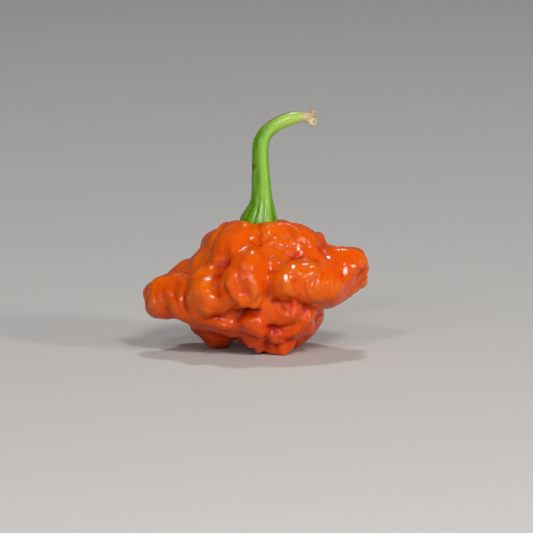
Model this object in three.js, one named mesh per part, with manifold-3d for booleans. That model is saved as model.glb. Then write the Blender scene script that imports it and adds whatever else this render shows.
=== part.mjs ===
// A ripe orange chilli pepper of the squat, wrinkled bonnet kind, as picked.
// The fruit stands on its lowest lobes. Its green stalk flares into a fluted cap on the crown, and hooks
// over to the right.
// Millimetres, +Z up, +Y away from the side that is seen first. The origin is the centre of the base.
import * as THREE from "three";
import { mergeVertices } from "three/addons/utils/BufferGeometryUtils.js";
import Module from "manifold-3d";

const wasm = await Module();
wasm.setup();

// Driving dimensions
const SKIN_STEP = 1.42; // the grid that the fruit's skin is netted on
const CELL_MARGIN = 0.06; // the share of a grid cell that its vertex keeps clear on each side
const SWELL_HEIGHT = 0.12; // how far each of the skin's swells rises
const CLEARANCE = 0.3; // the gap between the cap and the seat it sits in
const CAP_RIBS = 10;
const STALK_SIDES = 40;
const STALK_RINGS = 34;

// The fruit's lobes of flesh: [name, middle, half-lengths, tilt, soft]. Tilt, in degrees, lifts the right
// end, and soft is how many mm a lobe melts into those before it.
const LOBES = [
  // The body under the skin
  ["core", [0.5, 0.5, 17], [20, 14.5, 11], 0, 3],
  ["lower core", [1.5, 0, 9], [12.4, 10.4, 8], 0, 2.5],
  // The crown round the cap
  ["crown right", [7, -0.5, 24.9], [10.6, 11, 7.6], -8, 2.4],
  ["crown front", [3.5, -6, 24.2], [6.5, 6, 6.2], 0, 2],
  ["crown left", [-4.6, -3.4, 25], [6.6, 9.6, 7.2], 0, 1.2],
  ["crown bridge", [1.2, -5, 27.5], [5, 4.6, 5], 0, 1.6],
  ["crown rim", [-2.8, -4.2, 28.4], [4.2, 3.6, 4.1], 0, 1.2],
  ["crown back", [1, 8, 24], [11, 8, 7.2], 0, 1.8],
  ["left flank", [-9, -6.4, 22.8], [4, 6.2, 8.2], -20, 1.6],
  ["left ridge", [-11, 0.5, 25], [3.2, 6, 7.8], -29, 0.8],
  ["left ridge foot", [-13.6, -2.2, 20.4], [3, 4.5, 5], -16, 1.2],
  // The nose that bulges in front
  ["nose", [-2.4, -11.6, 20.6], [6.2, 7.6, 7.4], 0, 3.6],
  ["nose ridge", [-1, -14.8, 19.2], [2.8, 5.4, 6.2], 6, 2],
  ["nose left", [-5.4, -14.4, 19.4], [3.6, 5.2, 4.6], 0, 1.4],
  ["chin left", [-4.3, -15.6, 15.9], [3.8, 4.4, 3.2], 0, 1.2],
  ["chin right", [-0.2, -14.8, 16.6], [3, 4.4, 3], 20, 1.2],
  ["chin root", [-3.4, -8.4, 12], [5, 4, 4.4], 0, 1],
  ["nose web", [3.4, -11.2, 15.6], [3, 4, 4], 0, 1.5],
  // The right wing and its horn
  ["wing inner", [7, -12.4, 19.2], [5.8, 6.8, 5.2], 0, 1.6],
  ["wing middle", [12.4, -10, 18.2], [7, 7.5, 6.2], 0, 2.4],
  ["wing outer", [16.8, -7, 18], [6.4, 7.5, 6.9], 10, 2.4],
  ["wing bump", [12.6, -12.4, 21.4], [3.8, 3.8, 3.6], 0, 1.2],
  ["horn", [21.4, -1.5, 21.6], [6.9, 7, 5], -10, 2.2],
  ["horn under", [20.4, -3.5, 18], [4.6, 6, 4.8], 35, 2],
  ["horn back", [25.2, 3.5, 18.6], [2.7, 4.6, 3.4], 25, 0.6],
  ["horn bead", [23.6, 2, 16.2], [2.4, 3.6, 2], 30, 0.6],
  ["crown nub", [16.2, 0.6, 27.7], [1.6, 2.4, 1.8], -30, 0.8],
  // The left wing and its tip
  ["tip", [-22.2, -3, 13.6], [6.2, 6.6, 5.6], 34, 1.6],
  ["tip flap", [-20.2, -2.8, 16.8], [5, 5.6, 3], 34, 0.5],
  ["rear left", [-17.4, 4.5, 17.8], [6, 6.5, 3.6], 33, 0.6],
  ["tip root", [-17.4, -6.4, 13.6], [4.6, 6, 5.8], 0, 2],
  ["cheek", [-12.2, -10.8, 16.6], [5.2, 6.6, 6], 0, 1],
  ["cheek low", [-13, -9.8, 12.4], [4.2, 5.6, 4.4], 0, 1.6],
  ["cheek inner", [-7.6, -12.2, 13.6], [3.8, 4.4, 3.4], -12, 1.2],
  ["cheek nub", [-14.6, -9, 9.3], [2.3, 2.8, 2.2], 0, 1.4],
  // The lower tier and the lobes that it stands on
  ["strip", [-7.4, -9.3, 9], [8.8, 5.2, 3.5], -7, 0.6],
  ["strip root", [-4.6, -10.6, 10.8], [3.6, 4, 3], 0, 1.5],
  ["foot left", [-10, 2.4, 6.6], [5.8, 7, 6.8], 28, 1],
  ["low centre", [0, -11.8, 9.2], [4.1, 5.6, 4.5], 0, 1],
  ["low right top", [6.4, -10.6, 11.6], [5.2, 5.4, 5], 0, 1.4],
  ["low right", [10.6, -7.6, 9.8], [4.2, 5.8, 4.8], 0, 1.4],
  ["low right lip", [7.3, -9, 6.1], [5, 5, 3], 10, 0.8],
  ["low right side", [11.2, -5.8, 7.4], [3.2, 5.2, 3.4], 34, 0.7],
  ["foot right", [10.2, 4.2, 6.8], [5.2, 7, 7.4], -28, 0.5],
  ["foot right side", [13.8, 1.2, 9.8], [2.6, 4.5, 3.2], 0, 0.7],
  ["toe root", [0, -9, 4.6], [3.7, 3.6, 3.1], 0, 1],
  ["toe web", [3, -7.6, 3.3], [3, 2.8, 3], 0, 0.8],
  ["toe left", [1, -8.6, 2.8], [1.6, 2.8, 2.75], 0, 0.8],
  ["toe middle", [4.2, -7.8, 2.6], [1.9, 3, 2.4], 0, 0.5],
  ["toe right", [6.7, -8.2, 2.6], [2.3, 3.2, 3], 0, 0.5],
  // The back
  ["crown left back", [-8.4, 6, 23.6], [5.4, 6.6, 6.8], -24, 1.4],
  ["back left", [-11.4, 10.5, 16.6], [7.6, 7.5, 6.2], 0, 1.6],
  ["back middle", [-1, 13.5, 18], [6.8, 7.2, 7], 0, 1.2],
  ["back right", [10, 12, 17.5], [7.6, 7.2, 6.4], 0, 1.2],
  ["back right end", [17, 6.5, 18.4], [6.6, 7, 5.6], 0, 1.4],
  ["back seam", [3.6, 16.4, 19], [2.8, 3.6, 5.6], -14, 1],
  ["back brow left", [-6.6, 12.2, 21.6], [4.2, 4.8, 4.4], 24, 2.2],
  ["back brow right", [8.8, 11.6, 22.6], [4.6, 4.8, 3.8], -22, 2],
  ["back chin", [-3.6, 15.6, 13.6], [4.4, 3.8, 3.2], 12, 1.8],
  ["back knob left", [-14.6, 12.4, 14.2], [3.2, 3.8, 3.2], 28, 0.8],
  ["back knob right", [14.6, 10.8, 15], [4, 4.4, 3.4], 14, 1.4],
  ["back low left", [-5.8, 8.8, 9.6], [5.2, 6.4, 5], 14, 0.9],
  ["back low side", [-10.8, 7.4, 7.6], [3.2, 4.4, 3.6], 30, 0.8],
  ["back low middle", [0.6, 10.4, 7.4], [3.8, 5.4, 5.4], 8, 0.9],
  ["back low right", [7, 8.8, 9.2], [5, 6.4, 5.2], -16, 0.9],
  ["back low fold", [4.8, 10.4, 5], [3.4, 3.8, 2.8], -20, 1.4],
  ["back low crease", [-3.4, 10.8, 5.4], [3, 3.8, 2.8], 24, 1.4],
];

// Long waves that push the lobes out of true: [along, wavelength, phase, push].
const WARPS = [
  [[0.2, 0.9, 0.4], 13, 0.4, [0.44, 0.055, 0.275]],
  [[0.9, -0.3, 0.3], 9, 1.9, [0.04, 0.24, 0.32]],
  [[0.5, 0.3, -0.8], 11, 3.1, [0.315, -0.27, 0.09]],
];

// Short waves that swell the skin: [along, wavelength, phase].
const SWELLS = [
  [[0.86, 0.3, 0.41], 6.1, 0],
  [[-0.35, 0.52, 0.78], 5, 1.3],
  [[0.61, -0.66, 0.44], 4.4, 2.1],
  [[-0.72, -0.14, 0.68], 5.6, 4],
  [[0.15, 0.88, -0.45], 4.8, 5.2],
];

// The stalk from the cap's rim to its torn end: [middle, radius, how deep its ribs are].
const STALK = [
  [[0.8, 0, 30.9], 4.75, 0.3],
  [[0.85, 0, 32.5], 4.6, 0.35],
  [[1.05, 0, 34.2], 4, 0.3],
  [[1.25, 0, 36.1], 3.2, 0.2],
  [[1.28, 0, 38.1], 2.65, 0.1],
  [[1.2, 0, 40.6], 2.38, 0.06],
  [[1.12, 0, 43.4], 2.24, 0.05],
  [[1, 0, 46.6], 2.04, 0.04],
  [[0.95, 0.2, 50.2], 1.92, 0.04],
  [[1.25, 0.4, 52.4], 1.85, 0.04],
  [[2.2, 0.7, 54.2], 1.75, 0.04],
  [[3.65, 1.1, 55.65], 1.68, 0.04],
  [[5.5, 1.6, 56.8], 1.7, 0.04],
  [[7.9, 2.2, 57.65], 1.74, 0.04],
  [[10.2, 2.8, 58.15], 1.5, 0.03],
  [[12.1, 3.3, 58.2], 1.1, 0],
  [[13.6, 3.7, 58], 0.9, 0],
];

// The two lips of the torn end: [middle, half-lengths, tilt].
const TORN_LIPS = [
  [[13.6, 3.7, 58.75], [1.7, 0.95, 0.95], 15],
  [[13.3, 3.8, 57.2], [1.9, 1, 1], -35],
];

const paint = (name, color, roughness) =>
  new THREE.MeshStandardMaterial({ name, color, roughness, metalness: 0 });
const ripe = paint("ripe_flesh", 0xe0560a, 0.22);
const green = paint("green_stalk", 0x6fa51c, 0.42);

const wave = (p, along, length, phase) =>
  Math.sin(((p[0] * along[0] + p[1] * along[1] + p[2] * along[2]) * 2 * Math.PI) / length + phase);

// About how far p lies outside one lobe. It is below 0 inside.
function outsideLobe(p, [, middle, half, tilt]) {
  const [x, y, z] = p.map((v, i) => v - middle[i]);
  const cos = Math.cos(THREE.MathUtils.degToRad(tilt));
  const sin = Math.sin(THREE.MathUtils.degToRad(tilt));
  const share = [(x * cos + z * sin) / half[0], y / half[1], (z * cos - x * sin) / half[2]];
  const reach = Math.hypot(...share);
  const slope = Math.hypot(share[0] / half[0], share[1] / half[1], share[2] / half[2]) + 1e-6;
  return (reach * (reach - 1)) / slope;
}

// The smaller of two distances, rounded off where they are within soft of each other.
function melt(a, b, soft) {
  const near = Math.max(soft - Math.abs(a - b), 0) / soft;
  return Math.min(a, b) - near * near * soft * 0.25;
}

// About how far p lies outside the fruit's skin.
function outsideFruit(p) {
  const q = [...p];
  for (const [along, length, phase, push] of WARPS) {
    const w = wave(p, along, length, phase);
    push.forEach((mm, i) => (q[i] += mm * w));
  }
  const flesh = LOBES.reduce((far, lobe) => melt(far, outsideLobe(q, lobe), lobe[4]), 1e3);
  return flesh - SWELL_HEIGHT * SWELLS.reduce((sum, swell) => sum + wave(p, ...swell), 0);
}

// Moves p straight down or up the slope of outside, onto its zero.
function ontoSkin(p, outside) {
  const e = 0.05;
  for (let turn = 0; turn < 3; turn++) {
    const here = outside(p);
    const slope = [0, 1, 2].map((i) => (outside(p.map((v, j) => (i === j ? v + e : v))) - here) / e);
    const steep = Math.max(slope[0] ** 2 + slope[1] ** 2 + slope[2] ** 2, 0.2);
    p = p.map((v, i) => v - (slope[i] * here) / steep);
  }
  return p;
}

// A grid cell's corners, numbered by their 0 or 1 along x, y and z, its edges as pairs of corners, and its
// faces as lists of edges.
const CORNERS = [0, 1, 2, 3, 4, 5, 6, 7].map((n) => [n & 1, (n >> 1) & 1, n >> 2]);
const EDGES = CORNERS.flatMap((_, n) => [1, 2, 4].filter((bit) => !(n & bit)).map((bit) => [n, n | bit]));
const FACES = [1, 2, 4].flatMap((bit) => [0, bit].map((side) =>
  EDGES.flatMap(([a, b], n) => ((a & bit) === side && (b & bit) === side ? [n] : []))));

// Sorts a cell's crossed edges into the separate patches of surface in it: a patch's number for each edge.
function patchesIn(inside) {
  const patch = EDGES.map(([a, b], n) => (inside[a] !== inside[b] ? n : -1));
  const join = (m, n) => {
    const old = patch[m];
    patch.forEach((number, i) => {
      if (number === old) patch[i] = patch[n];
    });
  };
  for (const face of FACES) {
    const crossed = face.filter((n) => patch[n] >= 0);
    if (crossed.length === 2) join(crossed[0], crossed[1]);
    if (crossed.length === 4)
      for (const [a, b] of crossed.map((n) => EDGES[n])) {
        const corner = inside[a] ? a : b;
        const [m, n] = crossed.filter((edge) => EDGES[edge].includes(corner));
        join(m, n);
      }
  }
  return patch;
}

// Nets the surface where outside is 0: a vertex for each patch of it in a grid cell, which stays in its
// cell, and two triangles round each grid edge that it crosses.
function netOf(outside, low, high, step) {
  const size = low.map((v, i) => Math.ceil((high[i] - v) / step));
  const key = (i, j, k) => (k * size[1] + j) * size[0] + i;
  const depth = new Float64Array(size[0] * size[1] * size[2]);
  for (let k = 0; k < size[2]; k++)
    for (let j = 0; j < size[1]; j++)
      for (let i = 0; i < size[0]; i++)
        depth[key(i, j, k)] = outside([low[0] + i * step, low[1] + j * step, low[2] + k * step]);

  const vertices = [];
  const vertexOf = new Map();
  for (let k = 0; k < size[2] - 1; k++)
    for (let j = 0; j < size[1] - 1; j++)
      for (let i = 0; i < size[0] - 1; i++) {
        const depths = CORNERS.map(([x, y, z]) => depth[key(i + x, j + y, k + z)]);
        const patch = patchesIn(depths.map((d) => d < 0));
        const corner = [i, j, k].map((v, n) => low[n] + v * step);
        for (const number of new Set(patch.filter((n) => n >= 0))) {
          const sum = [0, 0, 0];
          const crossed = EDGES.flatMap((_, n) => (patch[n] === number ? [n] : []));
          for (const [a, b] of crossed.map((n) => EDGES[n])) {
            const share = depths[a] / (depths[a] - depths[b]);
            CORNERS[a].forEach((v, n) => (sum[n] += v + (CORNERS[b][n] - v) * share));
          }
          const place = ontoSkin(sum.map((v, n) => corner[n] + (v / crossed.length) * step), outside);
          for (const n of crossed) vertexOf.set(key(i, j, k) * 12 + n, vertices.length);
          const least = corner.map((v) => v + CELL_MARGIN * step);
          const most = corner.map((v) => v + (1 - CELL_MARGIN) * step);
          vertices.push(place.map((v, n) => THREE.MathUtils.clamp(v, least[n], most[n])));
        }
      }

  const triangles = [];
  for (let k = 1; k < size[2] - 1; k++)
    for (let j = 1; j < size[1] - 1; j++)
      for (let i = 1; i < size[0] - 1; i++)
        for (let axis = 0; axis < 3; axis++) {
          const [x, y, z] = CORNERS[1 << axis];
          const inside = depth[key(i, j, k)] < 0;
          if (inside === depth[key(i + x, j + y, k + z)] < 0) continue;
          const [u, v] = [1 << ((axis + 1) % 3), 1 << ((axis + 2) % 3)];
          const [p, q, r, s] = [u | v, v, 0, u].map((back) => {
            const edge = EDGES.findIndex(([a, b]) => a === back && b === (back | (1 << axis)));
            const [bx, by, bz] = CORNERS[back];
            return vertexOf.get(key(i - bx, j - by, k - bz) * 12 + edge);
          });
          triangles.push(...(inside ? [p, q, r, p, r, s] : [p, r, q, p, s, r]));
        }
  return solid(vertices.flat(), triangles);
}

const solid = (vertProperties, triVerts) =>
  new wasm.Manifold(new wasm.Mesh({
    numProp: 3,
    vertProperties: new Float32Array(vertProperties),
    triVerts: new Uint32Array(triVerts),
  }));

// A three.js geometry as a solid that can be joined and cut.
function solidOf(geometry) {
  geometry.deleteAttribute("normal");
  geometry.deleteAttribute("uv");
  const merged = mergeVertices(geometry, 1e-4);
  return solid(merged.attributes.position.array, merged.index.array);
}

function meshOf(name, body, material) {
  const { vertProperties, triVerts } = body.getMesh();
  const geometry = new THREE.BufferGeometry();
  geometry.setAttribute("position", new THREE.BufferAttribute(vertProperties, 3));
  geometry.setIndex(new THREE.BufferAttribute(triVerts, 1));
  geometry.computeVertexNormals();
  const mesh = new THREE.Mesh(geometry, material);
  mesh.name = name;
  return mesh;
}

// The stalk and its ribbed cap: a cylinder whose rings follow the stalk's curve. Grow makes it that much
// fatter and deeper.
function stalkSolid(grow = 0) {
  const path = new THREE.CatmullRomCurve3(STALK.map(([middle]) => new THREE.Vector3(...middle)));
  const sizes = STALK.map(([, radius, rib]) => new THREE.Vector3(radius, rib, 0));
  const girth = new THREE.CatmullRomCurve3(sizes);
  const tube = new THREE.CylinderGeometry(1, 1, 1, STALK_SIDES, STALK_RINGS);
  const spot = tube.attributes.position;
  for (let n = 0; n < spot.count; n++) {
    const along = spot.getY(n) + 0.5;
    const angle = Math.atan2(spot.getZ(n), spot.getX(n));
    const { x: radius, y: rib } = girth.getPoint(along);
    const forward = path.getTangent(along);
    const side = new THREE.Vector3(0, 1, 0).cross(forward).normalize();
    const front = new THREE.Vector3().crossVectors(side, forward);
    const out = Math.hypot(spot.getX(n), spot.getZ(n)) * (radius + rib * Math.cos(CAP_RIBS * angle) + grow);
    const place = path.getPoint(along)
      .addScaledVector(side, out * Math.cos(angle))
      .addScaledVector(front, out * Math.sin(angle));
    if (along === 0) place.z -= grow;
    spot.setXYZ(n, place.x, place.y, place.z);
  }
  return solidOf(tube);
}

function tornLip([middle, half, tilt]) {
  const ball = new THREE.SphereGeometry(1, 16, 10);
  return solidOf(ball.scale(...half).rotateY(-THREE.MathUtils.degToRad(tilt)).translate(...middle));
}

const ground = solidOf(new THREE.BoxGeometry(90, 90, 20).translate(0, 0, -10));
const fruit = netOf(outsideFruit, [-32, -24, -3], [32, 24, 36], SKIN_STEP)
  .subtract(ground)
  .subtract(stalkSolid(CLEARANCE));
const stalk = TORN_LIPS.map(tornLip).reduce((body, lip) => body.add(lip), stalkSolid());

const pepper = new THREE.Group();
pepper.add(meshOf("fruit", fruit, ripe), meshOf("stalk_and_cap", stalk, green));

// The origin is the centre of the base, and the fruit reaches as far to the left as to the right of it.
const middle = new THREE.Box3().setFromObject(pepper).getCenter(new THREE.Vector3());
pepper.position.set(-middle.x, -middle.y, 0);

export default pepper;
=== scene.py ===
import math
from itertools import product

import bpy
import numpy as np
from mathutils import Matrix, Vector


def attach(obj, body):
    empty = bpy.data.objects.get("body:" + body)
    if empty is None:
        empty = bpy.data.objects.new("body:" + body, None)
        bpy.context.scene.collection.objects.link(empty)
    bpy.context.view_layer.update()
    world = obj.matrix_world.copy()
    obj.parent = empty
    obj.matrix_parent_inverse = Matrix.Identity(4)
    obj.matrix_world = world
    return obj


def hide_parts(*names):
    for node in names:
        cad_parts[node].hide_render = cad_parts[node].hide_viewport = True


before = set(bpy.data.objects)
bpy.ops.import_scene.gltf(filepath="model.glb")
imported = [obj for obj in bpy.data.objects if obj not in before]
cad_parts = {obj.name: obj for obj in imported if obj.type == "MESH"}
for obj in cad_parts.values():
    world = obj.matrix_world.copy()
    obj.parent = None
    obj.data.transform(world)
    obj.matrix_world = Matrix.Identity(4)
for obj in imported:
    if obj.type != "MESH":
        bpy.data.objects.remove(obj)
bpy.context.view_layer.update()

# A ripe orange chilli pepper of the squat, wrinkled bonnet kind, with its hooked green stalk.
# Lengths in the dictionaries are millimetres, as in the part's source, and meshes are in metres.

mm = 0.001
print("frame loaded:", sorted(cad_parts))


# Small helpers for meshes

def newObject(name, data):
    thing = bpy.data.objects.new(name, data)
    bpy.context.scene.collection.objects.link(thing)
    return thing


def meshObject(name, vertices, faces, edges=()):
    mesh = bpy.data.meshes.new(name)
    mesh.from_pydata(np.asarray(vertices).tolist(), list(edges), np.asarray(faces).tolist())
    mesh.update()
    if len(faces):
        mesh.shade_smooth()
    return newObject(name, mesh)


def setAttribute(piece, name, values):
    layer = piece.data.attributes.new(name, "FLOAT", "POINT")
    layer.data.foreach_set("value", np.asarray(values, np.float32))


def places(piece):
    spots = np.zeros(len(piece.data.vertices) * 3, np.float32)
    piece.data.vertices.foreach_get("co", spots)
    return spots.reshape(-1, 3) / mm


def normals(piece):
    outward = np.zeros(len(piece.data.vertices) * 3, np.float32)
    piece.data.vertex_normals.foreach_get("vector", outward)
    return outward.reshape(-1, 3)


def ramp(values, low, high):
    t = np.clip((values - low) / (high - low), 0, 1)
    return t * t * (3 - 2 * t)


def spread(piece, values, rounds):
    # each vertex takes the mean of itself and its neighbours, as often as asked
    edges = np.zeros(len(piece.data.edges) * 2, np.int32)
    piece.data.edges.foreach_get("vertices", edges)
    a, b = edges.reshape(-1, 2).T
    count = len(values)
    weight = np.bincount(a, minlength=count) + np.bincount(b, minlength=count) + 1
    for _ in range(rounds):
        total = values + np.bincount(a, values[b], count) + np.bincount(b, values[a], count)
        values = total / weight
    return values


# Small helpers for node trees

def addNode(tree, kind, operation=None, **settings):
    node = tree.nodes.new(kind)
    made = len(tree.nodes)
    node.location = (made % 10 * 200, made // 10 * -300)  # in rows, in the order they are made
    if operation:
        node.operation = operation
    for name, value in settings.items():
        setattr(node, name, value)
    return node


def put(tree, source, socket):
    # links another socket to this one, or sets it to a plain value
    if isinstance(source, bpy.types.NodeSocket):
        tree.links.new(source, socket)
    else:
        socket.default_value = source


def feed(tree, node, **sources):
    # each name is the input's, with _ for a space
    for name, source in sources.items():
        put(tree, source, node.inputs[name.replace("_", " ")])
    return node


def mathNode(tree, operation, *terms):
    node = addNode(tree, "ShaderNodeMath", operation)
    for term, socket in zip(terms, node.inputs):
        put(tree, term, socket)
    return node.outputs[0]


def times(tree, a, b):
    return mathNode(tree, "MULTIPLY", a, b)


def plus(tree, a, b):
    return mathNode(tree, "ADD", a, b)


def vectorMath(tree, operation, *terms):
    node = addNode(tree, "ShaderNodeVectorMath", operation)
    sockets = [node.inputs[0], node.inputs["Scale"]] if operation == "SCALE" else node.inputs
    for term, socket in zip(terms, sockets):
        put(tree, term, socket)
    return node.outputs["Value" if operation in ("DOT_PRODUCT", "LENGTH") else "Vector"]


def splitVector(tree, vector):
    return feed(tree, addNode(tree, "ShaderNodeSeparateXYZ"), Vector=vector).outputs


def joinVector(tree, x, y, z):
    return feed(tree, addNode(tree, "ShaderNodeCombineXYZ"), X=x, Y=y, Z=z).outputs[0]


def rampNode(tree, value, low, high, bottom=0.0, top=1.0):
    node = addNode(tree, "ShaderNodeMapRange", interpolation_type="SMOOTHSTEP")
    for term, socket in zip((value, low, high, bottom, top), node.inputs):
        put(tree, term, socket)
    return node.outputs[0]


def blendColour(tree, share, one, other):
    node = addNode(tree, "ShaderNodeMix", data_type="RGBA")
    put(tree, share, node.inputs[0])
    for colour, socket in ((one, node.inputs[6]), (other, node.inputs[7])):
        put(tree, (*colour, 1) if isinstance(colour, tuple) else colour, socket)
    return node.outputs[2]


def noiseNode(tree, vector, scale, detail=2.0, roughness=0.5, distortion=0.0):
    node = addNode(tree, "ShaderNodeTexNoise")
    feed(tree, node, Vector=vector, Scale=scale, Detail=detail, Roughness=roughness, Distortion=distortion)
    return node.outputs[0]


def bumpNode(tree, height, depth):
    # depth is in mm
    node = addNode(tree, "ShaderNodeBump")
    return feed(tree, node, Strength=1.0, Distance=depth * mm, Height=height).outputs[0]


def markNode(tree, name, output="Fac"):
    # one of the piece's own attributes, in a material
    return addNode(tree, "ShaderNodeAttribute", attribute_name=name).outputs[output]


def newMaterial(name):
    material = bpy.data.materials.new(name)
    material.use_nodes = True
    tree = material.node_tree
    return material, tree, tree.nodes["Principled BSDF"]


def newGeometryTree(name, sizes):
    # a tree with one input for its material and one for each of the sizes
    tree = bpy.data.node_groups.new(name, "GeometryNodeTree")
    tree.is_modifier = True
    for side in ("INPUT", "OUTPUT"):
        tree.interface.new_socket("Geometry", in_out=side, socket_type="NodeSocketGeometry")
    tree.interface.new_socket("Material", in_out="INPUT", socket_type="NodeSocketMaterial")
    for title, value in sizes.items():
        kind = "NodeSocketInt" if isinstance(value, int) else "NodeSocketFloat"
        tree.interface.new_socket(title, in_out="INPUT", socket_type=kind).default_value = value
    return tree, addNode(tree, "NodeGroupInput").outputs


def closeTree(tree, geometry, material):
    # what was scattered becomes real, and everything gets the material
    real = feed(tree, addNode(tree, "GeometryNodeRealizeInstances"), Geometry=geometry)
    paint = addNode(tree, "GeometryNodeSetMaterial")
    feed(tree, paint, Geometry=real.outputs[0], Material=material)
    feed(tree, addNode(tree, "NodeGroupOutput"), Geometry=paint.outputs[0])
    return tree


def storeValue(tree, geometry, name, value, kind="FLOAT"):
    node = addNode(tree, "GeometryNodeStoreNamedAttribute", data_type=kind, domain="POINT")
    return feed(tree, node, Geometry=geometry, Name=name, Value=value).outputs[0]


def storedValue(tree, name, kind="FLOAT"):
    node = addNode(tree, "GeometryNodeInputNamedAttribute", data_type=kind)
    return feed(tree, node, Name=name).outputs["Attribute"]


def moveAndSmooth(tree, geometry, **move):
    moved = feed(tree, addNode(tree, "GeometryNodeSetPosition"), Geometry=geometry, **move)
    return feed(tree, addNode(tree, "GeometryNodeSetShadeSmooth"), Geometry=moved.outputs[0]).outputs[0]


def runTree(piece, tree, material, sizes):
    # puts the tree on the piece, and turns the result into a plain mesh
    modifier = piece.modifiers.new(tree.name, "NODES")
    modifier.node_group = tree
    for item in tree.interface.items_tree:
        if item.in_out == "INPUT" and item.name != "Geometry":
            modifier[item.identifier] = material if item.name == "Material" else sizes[item.name]
    bpy.context.view_layer.update()
    solid = bpy.data.meshes.new_from_object(piece.evaluated_get(bpy.context.evaluated_depsgraph_get()))
    old = piece.data
    piece.modifiers.clear()
    piece.data = solid
    bpy.data.meshes.remove(old)
    solid.name = piece.name


# A closed net round the zero of any field of distances

# corner n of a cell has its bit 0 along x, bit 1 along y and bit 2 along z
corners = np.array(list(product((0, 1), repeat=3)))[:, ::-1]
edgeList = [(n, n | bit) for n in range(8) for bit in (1, 2, 4) if not n & bit]
faceList = [[e for e, (a, b) in enumerate(edgeList) if a & bit == side and b & bit == side]
            for bit in (1, 2, 4) for side in (0, bit)]


def patchesIn(inside):
    # sorts a cell's crossed edges into the separate patches of surface in it
    patch = [e if inside[a] != inside[b] else -1 for e, (a, b) in enumerate(edgeList)]

    def join(m, n):
        old = patch[m]
        for e in range(12):
            if patch[e] == old:
                patch[e] = patch[n]

    for face in faceList:
        crossed = [e for e in face if patch[e] >= 0]
        if len(crossed) == 2:
            join(*crossed)
        if len(crossed) == 4:
            for e in crossed:
                corner = next(c for c in edgeList[e] if inside[c])
                join(*[f for f in crossed if corner in edgeList[f]])
    numbers = sorted(set(patch) - {-1})
    return [numbers.index(p) if p >= 0 else -1 for p in patch]


patchTable = np.array([patchesIn([bool(mask >> c & 1) for c in range(8)]) for mask in range(256)])


def sampled(outside, low, size, step, coarse=4):
    # the field on the grid, worked out only near its surface, and -1 or 1 elsewhere
    blocks = -(-size // coarse)
    knots = np.stack(np.meshgrid(*[np.arange(n + 1) for n in blocks], indexing="ij"), -1)
    knots = low + step * coarse * knots
    rough = outside(knots.reshape(-1, 3)).reshape(knots.shape[:3])
    near = np.min([np.abs(rough[x:x + blocks[0], y:y + blocks[1], z:z + blocks[2]])
                   for x, y, z in product((0, 1), repeat=3)], axis=0) < 1.5 * step * coarse
    grow = lambda a: a.repeat(coarse, 0).repeat(coarse, 1).repeat(coarse, 2)[:size[0], :size[1], :size[2]]
    depth = np.sign(grow(rough[:-1, :-1, :-1])).astype(np.float32)
    spots = np.argwhere(grow(near))
    depth[tuple(spots.T)] = outside(low + step * spots)
    return depth


def netOf(outside, low, high, step):
    # one vertex for each patch of surface in a cell, and a four-sided face round each crossed edge
    low = np.array(low, float)
    size = np.ceil((np.array(high) - low) / step).astype(int)
    depth = sampled(outside, low, size, step)
    inside = depth < 0
    mask = sum(inside[x:size[0] - 1 + x, y:size[1] - 1 + y, z:size[2] - 1 + z].astype(np.int32) << n
               for n, (x, y, z) in enumerate(corners))
    cells = np.argwhere((mask > 0) & (mask < 255))
    patch = patchTable[mask[tuple(cells.T)]]
    rowOf = np.full(mask.shape, -1, np.int32)
    rowOf[tuple(cells.T)] = np.arange(len(cells))
    depths = np.stack([depth[tuple((cells + c).T)] for c in corners], 1)
    crossings = np.zeros((len(cells), 12, 3))
    for e, (a, b) in enumerate(edgeList):
        share = depths[:, a] / np.where(patch[:, e] >= 0, depths[:, a] - depths[:, b], 1)
        crossings[:, e] = corners[a] + (corners[b] - corners[a]) * share[:, None]
    vertexOf = np.full(patch.shape, -1, np.int32)
    vertices = []
    count = 0
    for number in range(patch.max() + 1):
        member = patch == number
        rows = np.flatnonzero(member.any(1))
        weight = member[rows].sum(1)[:, None]
        middle = (crossings[rows] * member[rows][..., None]).sum(1) / weight
        vertices.append(low + step * (cells[rows] + middle))
        ids = np.full(len(cells), -1)
        ids[rows] = count + np.arange(len(rows))
        vertexOf = np.where(member, ids[:, None], vertexOf)
        count += len(rows)
    faces = []
    for axis in range(3):
        bit = 1 << axis
        u, v = 1 << (axis + 1) % 3, 1 << (axis + 2) % 3
        start = inside[1:-1, 1:-1, 1:-1]
        end = np.roll(inside, -1, axis)[1:-1, 1:-1, 1:-1]
        knots = np.argwhere(start != end) + 1
        ring = [vertexOf[rowOf[tuple((knots - corners[back]).T)], edgeList.index((back, back | bit))]
                for back in (u | v, v, 0, u)]
        ring = np.stack(ring, 1)
        outward = inside[tuple(knots.T)]
        faces.append(np.where(outward[:, None], ring, ring[:, ::-1]))
    return np.concatenate(vertices), np.concatenate(faces)


def ontoZero(spots, outside):
    # moves each spot along the field's slope, onto its zero
    nudge = 0.02
    here = outside(spots)
    slope = np.stack([(outside(spots + nudge * axis) - here) / nudge for axis in np.eye(3)], 1)
    steep = np.maximum((slope ** 2).sum(1), 0.2)
    return spots - slope * (here / steep)[:, None]


def outsideLobe(p, middle, half, tilt):
    # about how far each point is outside an ellipsoid
    x, y, z = (p - np.array(middle, np.float32)).T
    cos, sin = math.cos(math.radians(tilt)), math.sin(math.radians(tilt))
    share = [(x * cos + z * sin) / half[0], y / half[1], (z * cos - x * sin) / half[2]]
    reach = np.sqrt(sum(s * s for s in share))
    slope = np.sqrt(sum((s / h) ** 2 for s, h in zip(share, half))) + 1e-6
    return reach * (reach - 1) / slope


def melt(a, b, soft):
    # the nearer of two distances, rounded over where they are alike
    near = np.maximum(soft - np.abs(a - b), 0) / soft
    return np.minimum(a, b) - near * near * soft * 0.25


def wave(p, along, length, phase):
    return np.sin(p @ np.array(along, np.float32) * (2 * math.pi / length) + phase)


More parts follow.
